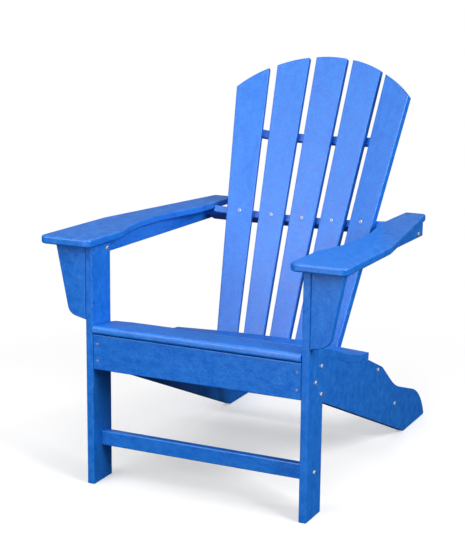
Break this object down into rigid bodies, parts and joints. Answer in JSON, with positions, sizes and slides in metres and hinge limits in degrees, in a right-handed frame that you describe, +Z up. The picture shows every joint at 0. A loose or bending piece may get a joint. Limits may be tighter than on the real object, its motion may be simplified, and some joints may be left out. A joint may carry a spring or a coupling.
{
  "type": "adirondack chair",
  "caption": "Adirondack chair of blue recycled-plastic lumber with a reclined fan-shaped slat back, contoured slat seat and broad flat arms.",
  "frame": {"origin": "on the floor, under the middle of the overall box", "axes": "+Z up, the front of the chair faces -Y, +X is the sitter's left"},
  "size_m": [0.7324, 0.8862, 0.9324],
  "materials": {
    "lumber": "solid-coloured recycled HDPE lumber, satin, finely mottled",
    "steel": "stainless, satin"
  },
  "bodies": {
    "root": {"left_front_leg": "lumber", "right_front_leg": "lumber", "front_apron": "lumber", "front_stretcher": "lumber", "back_slat_outer_right": "lumber", "slat_screw_outer_right": "steel", "back_slat_inner_right": "lumber", "slat_screw_inner_right": "steel", "back_slat_centre": "lumber", "slat_screw_centre": "steel", "back_slat_inner_left": "lumber", "slat_screw_inner_left": "steel", "back_slat_outer_left": "lumber", "slat_screw_outer_left": "steel", "lower_back_rail": "lumber", "middle_back_rail": "lumber", "top_back_rail": "lumber", "left_lower_rail_bolt": "steel", "left_support_bolt": "steel", "right_lower_rail_bolt": "steel", "right_support_bolt": "steel", "seat_slat_front": "lumber", "seat_slat_second": "lumber", "seat_slat_third": "lumber", "seat_slat_fourth": "lumber", "seat_slat_rear": "lumber", "left_side_rail": "lumber", "right_side_rail": "lumber", "rear_stretcher": "lumber", "left_arm": "lumber", "left_arm_support": "lumber", "right_arm": "lumber", "right_arm_support": "lumber", "left_arm_bolt": "steel", "right_arm_bolt": "steel", "left_arm_bracket": "lumber", "right_arm_bracket": "lumber", "left_leg_bolt_upper": "steel", "left_leg_bolt_middle": "steel", "left_leg_bolt_lower": "steel", "left_stretcher_bolt": "steel", "left_rear_stretcher_bolt": "steel", "left_apron_screw_lower": "steel", "left_bracket_screw_lower": "steel", "left_apron_screw_upper": "steel", "left_bracket_screw_upper": "steel", "right_leg_bolt_upper": "steel", "right_leg_bolt_middle": "steel", "right_leg_bolt_lower": "steel", "right_stretcher_bolt": "steel", "right_rear_stretcher_bolt": "steel", "right_apron_screw_lower": "steel", "right_bracket_screw_lower": "steel", "right_apron_screw_upper": "steel", "right_bracket_screw_upper": "steel"}
  },
  "joints": []
}
